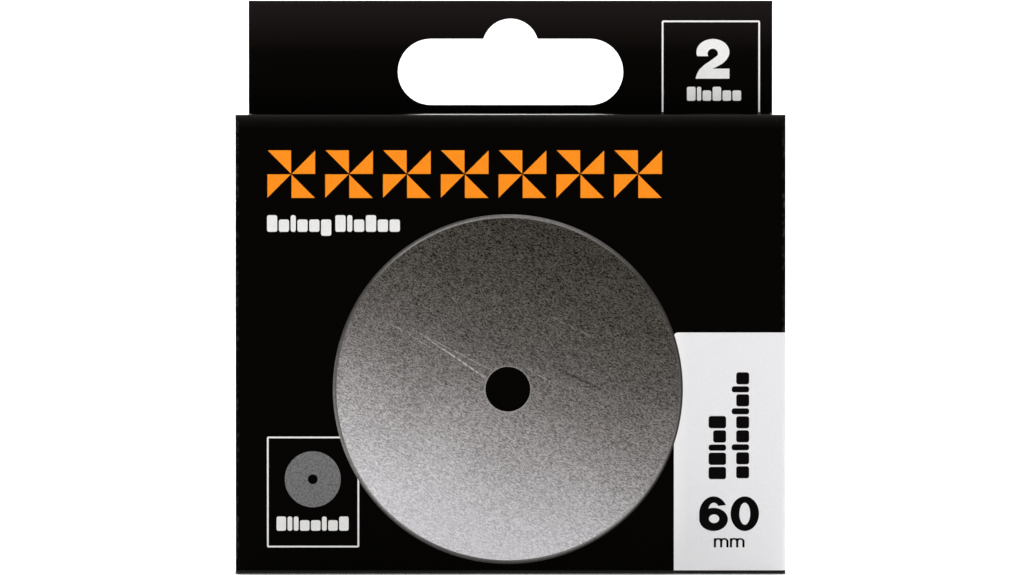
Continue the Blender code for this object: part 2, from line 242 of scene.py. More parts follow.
def printed_board_material(name, colour, header=False):
    """Black print under a satin varnish: fine fibre, faint mottling, scuffed creases, and
    painted highlights along its edges.
    """
    shader = Shader(name, 0.3, Specular_IOR_Level=SHEEN)
    fibre = shader.noise(2600, detail=3)
    level = shader.even(fibre, 0.72, 1.28)
    grey = shader.mix(1.0, colour, shader.ramp(level, ((0.0, 0.0), (1.0, 1.0))), "MULTIPLY")
    if header:
        # Painted highlight, paler towards its folded top edge
        stops = ((0.0, srgb(1, 1, 0)), (0.5, srgb(5, 4, 2)), (1.0, srgb(29, 25, 24)))
        painted_highlights = [(80.5 * MM, CARD_HIGH.z, stops)]
        wave = 0.02 * MM
    else:
        # Painted highlights along the open edge and the bottom crease
        edge_highlight = ((0, 0), (0.5, srgb(9, 9, 8)), (0.8, srgb(22, 21, 20)), (1, srgb(38, 37, 36)))
        # Painted highlight along the bottom crease
        foot = ((0, 0), (1, srgb(46, 45, 44)))
        painted_highlights = [(SLEEVE_TOP - 2.4 * MM, SLEEVE_TOP, edge_highlight), (0.75 * MM, 0.3 * MM, foot)]
        wave = 0.06 * MM
    # Each painted highlight is added to the print's grey
    for start, end, stops in painted_highlights:
        painted_highlight = shader.ramp(shader.span(shader.z, start, end), stops)
        grey = shader.mix(1.0, grey, painted_highlight, "ADD")
    near_side = shader.span(shader.math("ABSOLUTE", shader.x), HALF_WIDTH - MM, HALF_WIDTH)
    near_face = shader.span(shader.math("ABSOLUTE", shader.y), BACK - MM, BACK)
    crease = shader.span(shader.math("MULTIPLY", near_side, near_face), 0.25, 0.6)
    scuff = shader.span(shader.noise(900, detail=4), 0.5, 0.7)
    wear = shader.math("MULTIPLY", shader.math("MULTIPLY", crease, scuff), 0.35)
    fine = shader.bump(fibre, 0.004 * MM, 0.5)
    return shader.finish(
        Base_Color=shader.mix(wear, grey, srgb(96, 92, 88)),
        Roughness=shader.even(shader.noise(160), 0.29, 0.37),
        Normal=shader.bump(shader.noise(55, detail=1), wave, 0.5, under=fine),
    )


def inside_board_material():
    """Uncoated pulp-white board with darker flecks and soft fibres."""
    shader = Shader("board_inside", 0.85, Specular_IOR_Level=0.25)
    fibre = shader.noise(1500, detail=4)
    fleck = shader.span(shader.noise(3200, detail=1), 0.72, 0.78)
    base = shader.mix(fibre, srgb(196, 192, 183), srgb(224, 221, 213))
    colour = shader.mix(fleck, base, srgb(132, 124, 112))
    return shader.finish(Base_Color=colour, Normal=shader.bump(fibre, 0.02 * MM, 0.6))


def cut_board_material(name, light, dark):
    """The cut edge of the board: pressed plies with a torn grain."""
    shader = Shader(name, 0.9, Specular_IOR_Level=0.2)
    plies = shader.noise(5200, vector=shader.stretch((6.7, 1.0, 6.7)))
    grain = shader.noise(2400, detail=3)
    mixed = shader.math("MULTIPLY_ADD", plies, 0.6, shader.math("MULTIPLY", grain, 0.4))
    colour = shader.mix(shader.span(mixed, 0.35, 0.65), dark, light)
    return shader.finish(Base_Color=colour, Normal=shader.bump(mixed, 0.03 * MM, 0.7))


def varnish(name):
    """The start of an ink: its shader, under the same varnish as the board."""
    shader = Shader(name, GLOSS, Specular_IOR_Level=SHEEN)
    shader.finish(Roughness=shader.even(shader.noise(300), 0.31, 0.4))
    return shader


def press_grain(shader):
    """The fine relief of printed ink, and its level from 0 to 1."""
    grain = shader.noise(2900)
    shader.finish(Normal=shader.bump(grain, 0.003 * MM, 0.4))
    return shader.even(grain)


def ink_material(name, colour, mottle):
    """Flat ink with a faint press mottle."""
    shader = varnish(name)
    low = tuple(value * (1 - mottle) for value in colour[:3]) + (1.0,)
    high = tuple(min(1.0, value * (1 + mottle)) for value in colour[:3]) + (1.0,)
    return shader.finish(Base_Color=shader.mix(press_grain(shader), low, high))


def panel_ink_material():
    """Pale grey panel ink, with a painted highlight down its left edge and at its foot."""
    shader = varnish("panel_ink")
    shade = shader.mix(press_grain(shader), srgb(226, 225, 227), srgb(231, 230, 232))
    # Painted highlight down the left edge and at the foot
    edge_highlight = shader.span(shader.x, PANEL_LEFT, PANEL_LEFT + 2.6 * MM, 1.0, 0.0)
    foot = shader.span(shader.z, PANEL_LOW, PANEL_LOW + 6 * MM, 0.5, 0.0)
    light = shader.math("MAXIMUM", edge_highlight, foot)
    return shader.finish(Base_Color=shader.mix(light, shade, srgb(238, 237, 238)))


def pictured_blade_material():
    """The printed picture of a blade: brushed grey, dark at the top and bright at the foot."""
    shader = varnish("pictured_blade")
    across, up, radius = shader.from_axis(*PICTURE_CENTRE)
    fall = shader.math("MULTIPLY", up, -1 / PICTURE_RADIUS)
    fall = shader.math("MULTIPLY_ADD", across, -0.32 / PICTURE_RADIUS, fall)
    fall = shader.math("ADD", fall, shader.even(shader.noise(70), -0.04, 0.04))
    along = shader.span(fall, -1.0, 1.0)
    levels = (
        (0.03, srgb(57, 54, 49)), (0.22, srgb(70, 67, 62)), (0.39, srgb(90, 86, 83)),
        (0.50, srgb(114, 110, 108)), (0.62, srgb(145, 141, 140)), (0.75, srgb(174, 171, 172)),
        (0.88, srgb(200, 197, 200)), (0.99, srgb(213, 211, 214)),
    )
    tone = shader.ramp(along, levels)
    # Brushed grain: a fine speckle drawn out towards the lower right, and a few scratches
    drawn = shader.stretch((2.2, 1.0, 1.0), (0, math.radians(29), 0))
    grain = shader.ramp(shader.cells(8200, drawn), ((0.0, 0.0), (1.0, 2.04)))
    tone = shader.mix(shader.span(along, 0.1, 1.0, 1.0, 0.22), tone, grain, "MULTIPLY")
    bore = shader.span(radius, PICTURED_BORE, 1.07 * PICTURED_BORE, 0.4, 0.0)
    tone = shader.mix(bore, tone, srgb(190, 188, 186))
    broken = shader.span(shader.noise(1500, detail=1), 0.42, 0.6, 0.25, 1.0)
    for start, end, width, strength in PICTURED_SCRATCHES:
        line = scratch(shader, start, end, width)
        amount = shader.math("MULTIPLY", shader.math("MULTIPLY", line, broken), abs(strength))
        colour = srgb(206, 203, 200) if strength > 0 else srgb(26, 24, 22)
        tone = shader.mix(amount, tone, colour)
    return shader.finish(Base_Color=tone)


def scratch(shader, start, end, width):
    """1 on a straight line from start to end in the x-z plane, 0 off it, fading at its ends."""
    begin = Vector(start) * MM
    run = Vector(end) * MM - begin
    along = run.normalized()
    dx = shader.math("SUBTRACT", shader.x, begin.x)
    dz = shader.math("SUBTRACT", shader.z, begin.y)
    reach = shader.math("MULTIPLY_ADD", dx, along.x, shader.math("MULTIPLY", dz, along.y))
    aside = shader.math("MULTIPLY_ADD", dx, -along.y, shader.math("MULTIPLY", dz, along.x))
    gap = shader.math("ABSOLUTE", aside)
    near = shader.span(gap, 0.25 * width * MM, 0.75 * width * MM, 1.0, 0.0)
    head = shader.span(reach, 0.0, 0.3 * run.length)
    tail = shader.span(reach, 0.9 * run.length, run.length, 1.0, 0.0)
    return shader.math("MULTIPLY", near, shader.math("MULTIPLY", head, tail))


def rim_material():
    """The pictured rim: an inner and an outer band whose light changes round the blade.

    On the right the inner band is as grey as the blade, so only a thin dark line shows.
    """
    shader = Shader("pictured_rim", GLOSS, Specular_IOR_Level=SHEEN)
    across, up, radius = shader.from_axis(*PICTURE_CENTRE)
    around = shader.span(shader.math("ARCTAN2", up, across), -math.pi, math.pi)
    # (place, grey level) round each band: 0 left, 0.25 bottom, 0.5 right, 0.75 top
    inner = (
        (0.0, 94), (0.05, 112), (0.11, 150), (0.18, 100), (0.25, 96), (0.37, 148),
        (0.5, 90), (0.6, 62), (0.69, 116), (0.84, 134), (0.9, 86), (1.0, 94),
    )
    outer = (
        (0.0, 112), (0.05, 130), (0.11, 76), (0.35, 62), (0.6, 48),
        (0.7, 104), (0.74, 120), (0.79, 84), (0.94, 62), (1.0, 112),
    )
    bands = []
    for stops in (inner, outer):
        grey = [(place, srgb(level, level - 3, level - 5)) for place, level in stops]
        bands.append(shader.ramp(around, grey))
    depth = shader.span(radius, PICTURE_RADIUS - RIM_WIDTH, PICTURE_RADIUS)
    tone = shader.mix(shader.span(depth, 0.35, 0.65), *bands)
    grain = shader.ramp(shader.noise(3000), ((0.25, 0.75), (0.75, 1.25)))
    return shader.finish(Base_Color=shader.mix(1.0, tone, grain, "MULTIPLY"))


def base_plastic_material():
    """Dark grey moulded plastic with a fine spark-eroded texture."""
    shader = Shader("case_base_plastic", 0.45)
    grain = shader.noise(1800, detail=3)
    return shader.finish(
        Base_Color=shader.mix(shader.noise(90), srgb(54, 56, 60), srgb(64, 66, 70)),
        Roughness=shader.even(grain, 0.38, 0.55),
        Normal=shader.bump(grain, 0.02 * MM, 0.5),
    )


def lid_plastic_material():
    """Clear moulded plastic with faint flow marks and fine handling scratches."""
    shader = Shader("case_lid_plastic", 0.05, IOR=1.49, Transmission_Weight=1.0)
    shader.surface.inputs["Base Color"].default_value = srgb(250, 252, 253)
    rubs = shader.noise(500, detail=3, vector=shader.stretch((5.0, 1.0, 1.0), (0, 0.6, 0)))
    flow = shader.bump(shader.noise(60), 0.02 * MM, 0.3)
    return shader.finish(Roughness=shader.span(rubs, 0.58, 0.8, 0.03, 0.22), Normal=flow)


def blade_material():
    """Coated steel, ground in circles, with a brighter bevel."""
    shader = Shader("coated_blade_steel", 0.3, Metallic=1.0, Anisotropic=0.75)
    radius = shader.from_axis(CASE_AXIS.x, CASE_AXIS.z)[2]
    rings = shader.value("ShaderNodeCombineXYZ", {0: radius})
    lines = shader.noise(9000, detail=3, vector=rings)
    cloud = shader.noise(120, detail=3)
    body = shader.mix(cloud, srgb(140, 137, 133), srgb(166, 163, 159))
    body = shader.mix(shader.span(lines, 0.4, 0.7, 0.0, 0.5), body, srgb(92, 89, 86))
    ground = shader.math("GREATER_THAN", radius, BEVEL_START)
    return shader.finish(
        Base_Color=shader.mix(ground, body, srgb(212, 211, 209)),
        Roughness=shader.even(lines, 0.2, 0.36),
        Normal=shader.bump(lines, 0.004 * MM, 0.6),
        Tangent=shader.value("ShaderNodeTangent", direction_type="RADIAL", axis="Y"),
    )


def paper_material():
    """Thin brown paper, soaked in oil: long fibres and darker, glossier patches."""
    shader = Shader("oiled_paper", 0.5, Specular_IOR_Level=0.4)
    fibres = shader.noise(900, detail=5, vector=shader.stretch((1.0, 1.0, 4.0)))
    soaked = shader.span(shader.noise(45, detail=3), 0.42, 0.6)
    base = shader.mix(fibres, srgb(176, 146, 98), srgb(214, 188, 140))
    return shader.finish(
        Base_Color=shader.mix(soaked, base, srgb(158, 124, 76)),
        Roughness=shader.span(soaked, 0.0, 1.0, 0.62, 0.34),
        Normal=shader.bump(fibres, 0.02 * MM, 0.5),
    )


def floor_material():
    """Pale studio floor with a barely visible unevenness."""
    shader = Shader("studio_floor", 0.7, Specular_IOR_Level=0.1)
    cloud = shader.noise(3, detail=3)
    pale = shader.mix(cloud, (0.93, 0.93, 0.93, 1), (0.95, 0.95, 0.95, 1))
    return shader.finish(Base_Color=pale)


# ---- meshes


def add_object(name, data):
    """A new object in the scene."""
    item = bpy.data.objects.new(name, data)
    bpy.context.scene.collection.objects.link(item)
    return item


def weigh_normals(piece):
    """Keep flat faces flat beside rounded ones."""
    piece.modifiers.new("Flat faces stay flat", "WEIGHTED_NORMAL").keep_sharp = True


def add_piece(name, shape, materials, body, sharp=30, weighted=True):
    """Make an object from a bmesh, put it on a body and give it a finish slot."""
    bmesh.ops.recalc_face_normals(shape, faces=shape.faces)
    mesh = bpy.data.meshes.new(name)
    shape.to_mesh(mesh)
    shape.free()
    for material in materials:
        mesh.materials.append(material)
    mesh.shade_smooth()
    mesh.set_sharp_from_angle(angle=math.radians(sharp))
    piece = add_object(name, mesh)
    if weighted:
        weigh_normals(piece)
    if body:
        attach(piece, body)
    return piece


def bent_path(corners, radius, steps=6):
    """(point, normal) stations along a path whose corners are rounded to a radius."""
    points = [Vector(corner) for corner in corners]
    runs = [(there - here).normalized() for here, there in zip(points, points[1:])]
    normals = [Vector((-run.y, run.x)) for run in runs]
    stations = [(points[0], normals[0])]
    for point, into, out, normal in zip(points[1:], runs, runs[1:], normals):
        turn = math.atan2(into.x * out.y - into.y * out.x, into.dot(out))
        setback = radius * math.tan(abs(turn) / 2)
        side = math.copysign(1, turn)
        centre = point - into * setback + normal * radius * side
        for step in range(steps + 1):
            facing = Matrix.Rotation(turn * step / steps, 2) @ normal
            stations.append((centre - facing * radius * side, facing))
    return stations + [(points[-1], normals[-1])]


def add_board(shape, stations, thickness, low, high, place):
    """A bent board: its outline between two faces, pushed from low to high.

    Normals point to the printed face. low and high are numbers, or functions of
    the station's number. place turns (a, b, push) into a point.
    """
    grid = []
    for number, (point, normal) in enumerate(stations):
        bottom = low(number) if callable(low) else low
        top = high(number) if callable(high) else high
        outer = point + normal * thickness / 2
        inner = point - normal * thickness / 2
        corners = ((outer, bottom), (outer, top), (inner, top), (inner, bottom))
        grid.append([shape.verts.new(place(*spot, push)) for spot, push in corners])
    sides = (PRINTED, CUT, INSIDE, CUT)
    for here, there in zip(grid, grid[1:]):
        for side, index in enumerate(sides):
            after = (side + 1) % 4
            face = shape.faces.new((here[side], here[after], there[after], there[side]))
            face.material_index = index
    for end in (grid[0], grid[-1]):
        shape.faces.new(end).material_index = CUT


def cut_out(piece, outline, y_from, y_to, materials):
    """Cut a flat outline of (x, z) points right through a piece."""
    shape = bmesh.new()
    face = shape.faces.new([shape.verts.new((x, y_from, z)) for x, z in outline])
    pushed = bmesh.ops.extrude_face_region(shape, geom=[face])["geom"]
    moved = [item for item in pushed if isinstance(item, bmesh.types.BMVert)]
    bmesh.ops.translate(shape, verts=moved, vec=(0, y_to - y_from, 0))
    for side in shape.faces:
        side.material_index = CUT
    tool = add_piece("cutter", shape, materials, None, weighted=False)
    cut = piece.modifiers.new("Cut", "BOOLEAN")
    cut.operation = "DIFFERENCE"
    cut.object = tool
    cut.solver = "EXACT"
    bpy.context.view_layer.update()
    graph = bpy.context.evaluated_depsgraph_get()
    result = bpy.data.meshes.new_from_object(piece.evaluated_get(graph))
    piece.modifiers.remove(cut)
    piece.data = result
    bpy.data.objects.remove(tool)


def oval(centre_u, centre_v, reach_u, reach_v, first, last, steps=16):
    """(u, v) points along an oval between two angles in degrees, both ends included."""
    points = []
    for step in range(steps + 1):
        angle = math.radians(first + (last - first) * step / steps)
        spot = (centre_u + reach_u * math.cos(angle), centre_v + reach_v * math.sin(angle))
        points.append(spot)
    return points


def arc(centre_u, centre_v, radius, first, last, steps=24):
    """The same along a circle."""
    return oval(centre_u, centre_v, radius, radius, first, last, steps)


def ring(centre_u, centre_v, radius, steps):
    """Points all round a circle."""
    return arc(centre_u, centre_v, radius, 0, 360, steps)[:-1]


def rounded_box(left, right, low, high, corner):
    """Points round a box with rounded corners, from its upper right corner."""
    a, b, c, d = left + corner, right - corner, low + corner, high - corner
    points = []
    for quarter, (u, v) in enumerate(((b, d), (a, d), (a, c), (b, c))):
        points += arc(u, v, corner, 90 * quarter, 90 * quarter + 90, 5)
    return points


def box_outlines(left, right, low, high, line):
    """The outer and the inner outline of a box drawn with a line, in millimetres."""
    inside = (left + line, right - line, low + line, high - line)
    return rounded_box(left, right, low, high, 0.3), rounded_box(*inside, 0.02)


def hang_hole_outline():
    """A slot with round ends and a round rise in the middle of its top edge."""
    end = SLOT_HALF - SLOT_RADIUS
    top = SLOT_Z + SLOT_RADIUS
    rise = math.degrees(math.asin((top - RISE_Z) / RISE_RADIUS))
    outline = arc(end, SLOT_Z, SLOT_RADIUS, -90, 90)
    outline += arc(0, RISE_Z, RISE_RADIUS, rise, 180 - rise)
    outline += arc(-end, SLOT_Z, SLOT_RADIUS, 90, 270)
    return outline


def rounded(corners, radius, steps=5):
    """A closed profile of corners (a, b, share), each rounded to its share of a radius."""
    points = []
    for i, (a, b, share) in enumerate(corners):
        here = Vector((a, b))
        back = Vector(corners[i - 1][:2]) - here
        ahead = Vector(corners[(i + 1) % len(corners)][:2]) - here
        if not share:
            points.append(here)
            continue
        reach = min(radius * share, back.length * 0.45, ahead.length * 0.45)
        start = here + back.normalized() * reach
        end = here + ahead.normalized() * reach
        for step in range(steps + 1):
            t = step / steps
            points.append(start * (1 - t) ** 2 + here * 2 * t * (1 - t) + end * t * t)
    return points


def turned(profile, steps, wobble=None):
    """A closed (radius, y) profile, turned about the case's axis.

    wobble gives the radius at an angle, for flutes.
    """
    shape = bmesh.new()
    rows = []
    for step in range(steps):
        angle = math.tau * step / steps
        row = []
        for radius, y in profile:
            reach = wobble(radius, y, angle) if wobble else radius
            x, z = reach * math.cos(angle), reach * math.sin(angle)
            row.append(shape.verts.new((x, y, z + CASE_AXIS.z)))
        rows.append(row)
    for row, following in zip(rows, rows[1:] + rows[:1]):
        for i in range(len(profile)):
            j = (i + 1) % len(profile)
            shape.faces.new((row[i], row[j], following[j], following[i]))
    # Points on the axis fall together, and leave faces without an area
    bmesh.ops.remove_doubles(shape, verts=shape.verts, dist=1e-7)
    gone = [face for face in shape.faces if face.calc_area() < 1e-13]
    bmesh.ops.delete(shape, geom=gone, context="FACES_ONLY")
    return shape


# ---- flat print


def figure_0():
    return [
        oval(0.5, 0.5, 0.5, 0.5, half, half + 180, 24)
        + oval(0.5, 0.5, 0.19, 0.318, half + 180, half, 24)
        for half in (0, 180)
    ]


def figure_2():
    outline = [(0.01, 0.0), (0.985, 0.0), (0.985, 0.252), (0.5, 0.252)]
    outline += [(0.64, 0.31), (0.79, 0.385), (0.9, 0.475)]
    outline += oval(0.51, 0.672, 0.475, 0.328, -20, 198.7, 24)
    outline += oval(0.505, 0.63, 0.15, 0.126, 210, -20)
    return [outline + [(0.5, 0.49), (0.26, 0.345), (0.12, 0.23), (0.05, 0.12)]]


def figure_6():
    upper = oval(0.5, 0.335, 0.5, 0.335, 0, 109.5)
    upper += oval(0.51, 0.6, 0.19, 0.215, 167, 35)
    upper += oval(0.5, 0.5, 0.5, 0.5, 30, 180)
    upper += [(0.0, 0.335)] + oval(0.517, 0.355, 0.18, 0.125, 180, 0)
    lower = oval(0.5, 0.335, 0.5, 0.335, 180, 360)
    lower += oval(0.517, 0.355, 0.18, 0.125, 360, 180)
    return [upper, lower]


def letter_m():
    outline = [(0.0, 0.0), (0.0, 0.97), (0.15, 0.97)]
    outline += oval(0.2875, 0.62, 0.2875, 0.38, 118, 42)
    outline += oval(0.7125, 0.62, 0.2875, 0.38, 138, 0)
    outline += [(1.0, 0.0), (0.85, 0.0)]
    outline += oval(0.7125, 0.62, 0.1375, 0.21, 0, 180)
    outline += [(0.575, 0.0), (0.425, 0.0)]
    return [outline + oval(0.2875, 0.62, 0.1375, 0.21, 0, 180) + [(0.15, 0.0)]]


class Sheet:
    """Ink shapes of one colour on one flat face, in millimetres along its own u and v."""

    def __init__(self, body, place):
        self.shape = bmesh.new()
        self.body = body
        self.place = place

    def corners(self, points, level):
        return [self.shape.verts.new(self.place(u * MM, v * MM, level)) for u, v in points]

    def film(self, points):
        """A closed flat shape."""
        lower = self.corners(points, 0)
        upper = self.corners(points, 1)
        self.shape.faces.new(lower[::-1])
        self.shape.faces.new(upper)
        for i in range(len(points)):
            self.shape.faces.new((lower[i - 1], lower[i], upper[i], upper[i - 1]))

    def band(self, outer, inner):
        """A closed ring between two outlines with the same number of points."""
        rows = [self.corners(outer, 0), self.corners(outer, 1)]
        rows += [self.corners(inner, 1), self.corners(inner, 0)]
        for i in range(len(outer)):
            for row, following in zip(rows, rows[1:] + rows[:1]):
                self.shape.faces.new((row[i - 1], row[i], following[i], following[i - 1]))

    def bar(self, left, right, low, high, radius=0.3):
        radius = min(radius, (right - left) / 2, (high - low) / 2) * 0.999
        self.film(rounded_box(left, right, low, high, radius))

    def box(self, *sides_and_line):
        self.band(*box_outlines(*sides_and_line))

    def arch(self, left, right, low, high, line):
        """A box with no bottom line."""
        over, under = box_outlines(left, right, low, high, line)
        feet = [(left, low), (left + line, low)]
        top = over[:12] + feet + under[11::-1]
        self.film([(right, low)] + top + [(right - line, low)])

    def disc(self, centre_u, centre_v, radius, hole=0.0, steps=96):
        outer = ring(centre_u, centre_v, radius, steps)
        if hole:
            self.band(outer, ring(centre_u, centre_v, hole, steps))
        else:
            self.film(outer)

    def word(self, left, right, low, high, pattern, upright=False):
        """Stands for a word: a row of plain blocks with the rhythm of letters.

        T is tall and wide, l tall and narrow, x low and y low with a tail.
        upright turns the row to read upwards, its tall side to the left.
        """
        weights = [0.5 if letter == "l" else 1.0 for letter in pattern]
        along, across = (high - low, right - left) if upright else (right - left, high - low)
        unit = along / (sum(weights) + 0.16 * (len(pattern) - 1))
        begin = low if upright else left
        for letter, weight in zip(pattern, weights):
            end = begin + weight * unit
            reach = across * (1.0 if letter in "Tl" else 0.74)
            tail = across * 0.24 if letter == "y" else 0.0
            if upright:
                self.bar(right - reach, right + tail, begin, end, unit * 0.2)
            else:
                self.bar(begin, end, low - tail, low + reach, unit * 0.2)
            begin = end + 0.16 * unit

    def glyph(self, shape, left, right, low, high):
        """Spread the outlines of a figure, drawn in a unit square, over a box."""
        for outline in shape():
            self.film([(left + u * (right - left), low + v * (high - low)) for u, v in outline])

    def finish(self, name, material):
        add_piece(name, self.shape, [material], self.body, weighted=False)


def front_sheet(layer):
    """The sleeve's front: u to the right, v up. Layers count outwards."""
    board = FRONT + SKIN - (layer - 1) * INK
    return Sheet("sleeve", lambda u, v, level: (u, board - level * INK, v))


def header_sheet():
    """The header's front, in the same directions."""
    board = HEADER_LOW.y + SKIN
    return Sheet("tray", lambda u, v, level: (u, board - level * INK, v))


def back_sheet(layer):
    """The sleeve's back, read from behind: u runs towards -X."""
    board = BACK - SKIN + (layer - 1) * INK
    return Sheet("sleeve", lambda u, v, level: (-u, board + level * INK, v))


# ---- boards


def upwards(x, y, push):
    """Place a board whose path runs in the x-y plane."""
    return (x, y, push)


def crossways(y, z, push):
    """Place a board whose path runs in the y-z plane."""
    return (push, y, z)


def make_sleeve(materials):
    """The four walls as one folded tube, with a pressed edge along its open top."""
    edge_x = HALF_WIDTH - SKIN - THICK / 2
    front_y = FRONT + SKIN + THICK / 2
    back_y = BACK - SKIN - THICK / 2
    notch = FLAP_HIGH.x
    seam = edge_x - 9 * MM  # the loop starts and ends on the back wall
    corners = [
        (-seam, back_y), (edge_x, back_y), (edge_x, front_y), (notch, front_y),
        (notch - INK, front_y), (-notch + INK, front_y), (-notch, front_y),
        (-edge_x, front_y), (-edge_x, back_y), (-seam - INK, back_y),
    ]
    stations = []
    for index, (x, y) in enumerate(corners):
        if abs(x) == edge_x:
            stations += bent_path(corners[index - 1 : index + 2], FOLD)[1:-1]
        else:
            stations.append((Vector((x, y)), Vector((0, 1 if y > 0 else -1))))
    # Extra stations down the side walls, where the top edge steps from front to side
    for direction in (1, -1):
        for distance in (0.3, 0.8, 1.3):
            place = Vector((direction * edge_x, front_y + FOLD + distance * MM))
            stations.append((place, Vector((direction, 0))))
    squat = 0.12  # about depth over width, so that the angle follows the walls
    stations.sort(key=lambda item: -math.atan2(item[0].y, item[0].x * squat))
    sleeve = add_piece("sleeve", tube(stations, notch), materials, "sleeve")
    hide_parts("sleeve_front", "sleeve_back", "sleeve_left", "sleeve_right")


def tube(stations, notch):
    """Rows up the tube: the foot, the flat wall, the pressed top edge, then down inside."""
    press_reach = 2.2 * MM  # how far down the pressed edge reaches
    press_depth = 0.14 * MM
    press_run = 2 * MM  # how far from a corner it reaches its full depth
    edge_round = 0.12 * MM
    step_start = FRONT + 0.9 * MM  # where the top edge steps down to the side walls
    step_run = 1.6 * MM
    depths = (2.2, 1.8, 1.4, 1.0, 0.7, 0.45, 0.25, 0.12, 0.09, 0.06, 0.03, 0.012, 0.0)
    depths = [depth * MM for depth in depths]

    def top(point):
        along = min(max((point.y - step_start) / step_run, 0.0), 1.0)
        ease = along * along * (3 - 2 * along)
        return SLEEVE_TOP + (SIDE_TOP - SLEEVE_TOP) * ease

    def foot(point):
        on_front = point.y < FRONT + BOARD and abs(point.x) < notch - INK / 2
        return CREASE_TOP if on_front else 0.0

    def pressed(point, depth):
        if point.y > FRONT + BOARD:
            return 0.0
        share = min(max((HALF_WIDTH - abs(point.x) - FOLD) / press_run, 0.0), 1.0)
        return share * press_depth * ((press_reach - depth) / press_reach) ** 2

    def rounding(depth):
        if depth >= edge_round:
            return 0.0
        return edge_round - math.sqrt(edge_round**2 - (edge_round - depth) ** 2)

    shape = bmesh.new()
    columns = []
    for point, normal in stations:
        outer = point + normal * THICK / 2
        inner = point - normal * THICK / 2
        rim = top(point)
        column = [(outer, foot(point), PRINTED)]
        for depth in depths:
            inward = normal * (pressed(point, depth) + rounding(depth))
            column.append((outer - inward, rim - depth, PRINTED))
        for depth in depths[::-1]:
            inward = normal * (pressed(point, depth) - rounding(depth) * 0.5)
            column.append((inner - inward, rim - depth, INSIDE))
        column.append((inner, foot(point), INSIDE))
        columns.append([(shape.verts.new((p.x, p.y, z)), kind) for p, z, kind in column])
    for column, following in zip(columns, columns[1:] + columns[:1]):
        for row in range(len(column)):
            after = (row + 1) % len(column)
            corners = (column[row], column[after], following[after], following[row])
            face = shape.faces.new([vertex for vertex, kind in corners])
            kinds = {column[row][1], column[after][1]}
            face.material_index = kinds.pop() if len(kinds) == 1 else CUT
    return shape


def make_closure(materials):
    """The bottom crease, and the flap with its tongue."""
    front_y = FRONT + SKIN + THICK / 2
    back_y = FLAP_HIGH.y - SKIN - THICK / 2
    level = SKIN + THICK / 2
    hand_over = FLAP_LOW.y + 1.6 * MM  # from the crease to the flap
    half = FLAP_HIGH.x
    shape = bmesh.new()
    path = [(front_y, CREASE_TOP), (front_y, level), (hand_over, level)]
    add_board(shape, flipped(bent_path(path, FOLD, steps=10)), THICK, -half, half, crossways)
    crease = add_piece("bottom_crease", shape, materials, None)
    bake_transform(crease)

    shape = bmesh.new()
    meet = FLAP_HIGH.y - 1.4 * MM
    path = [(hand_over, level), (meet, level)]
    add_board(shape, flipped(bent_path(path, FOLD)), THICK, -half, half, crossways)
    tip = (TONGUE_LOW.y + BOARD / 2 + SKIN / 2, TONGUE_HIGH.z - 0.02 * MM)
    stations = bent_path([(meet, level), (back_y, level), tip], FOLD * 0.8)
    # Extra stations near the tip, whose corners are rounded
    corner = 2.0 * MM
    end, normal = stations.pop()
    back = (stations[-1][0] - end).normalized()
    for share in (0.0, 0.25, 0.5, 0.7, 0.85, 0.95, 0.99, 1.0):
        stations.append((end + back * (corner * (1 - share)), normal))
    reach = TONGUE_HIGH.x

    def half_tongue(number):
        gone = (stations[number][0] - end).length
        if gone >= corner:
            return reach
        return reach - corner + math.sqrt(corner**2 - (corner - gone) ** 2)

    tongue = (THICK, lambda number: -half_tongue(number), half_tongue, crossways)
    add_board(shape, flipped(stations), *tongue)
    flap = add_piece("bottom_closure", shape, materials, "closure")
    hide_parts("bottom_flap", "tuck_tongue")


def flipped(stations):
    """The same stations with their printed face on the other side."""
    return [(point, -normal) for point, normal in stations]


def make_tray(materials):
    """The hang card: one board from its glue tab round to the back of the header."""
    middle = BOARD / 2
    thickness = BOARD - 2 * SKIN
    front_y = PLATFORM_LOW.y + middle
    lining_y = HEADER_LOW.y + middle
    card_y = CARD_LOW.y + middle
    floor_z = PLATFORM_LOW.z + middle
    ledge_z = LEDGE_LOW.z + middle
    top_z = HEADER_HIGH.z - middle
    shoulder = WALL_HIGH.z
    half = HEADER_HIGH.x
    path = [
        (lining_y, TAB_TOP), (lining_y, floor_z), (front_y, floor_z), (front_y, ledge_z),
        (lining_y, ledge_z), (lining_y, top_z), (card_y, top_z), (card_y, shoulder),
    ]
    shape = bmesh.new()
    stations = bent_path(path, (card_y - lining_y) / 2, steps=8)
    add_board(shape, stations, thickness, -half, half, crossways)
    card = add_piece("hang_tray", shape, materials, "tray", weighted=False)
    cut_out(card, hang_hole_outline(), LEDGE_HIGH.y - MM, CARD_HIGH.y + MM, materials)
    window = ring(0, CASE_AXIS.z, WINDOW_RADIUS, 160)
    cut_out(card, window, PLATFORM_LOW.y - MM, PLATFORM_HIGH.y + 0.2 * MM, materials)
    weigh_normals(card)
    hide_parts("hang_card", "header_front", "tray_ledge", "tray_platform",
                "tray_bottom", "tray_glue_tab")

    side_x = WALL_HIGH.x - middle
    shape = bmesh.new()
    open_y = WALL_LOW.y
    path = [(-side_x, open_y), (-side_x, card_y), (side_x, card_y), (side_x, open_y)]
    stations = bent_path(path, FOLD, steps=8)

    def low(number):
        on_wall = stations[number][0].y < card_y - FOLD * 0.7
        return WALL_LOW.z if on_wall else CARD_LOW.z

    add_board(shape, stations, thickness, low, shoulder, upwards)
    walls = add_piece("tray_walls", shape, materials, "tray")
    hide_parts("tray_left", "tray_right")


# ---- case and blades


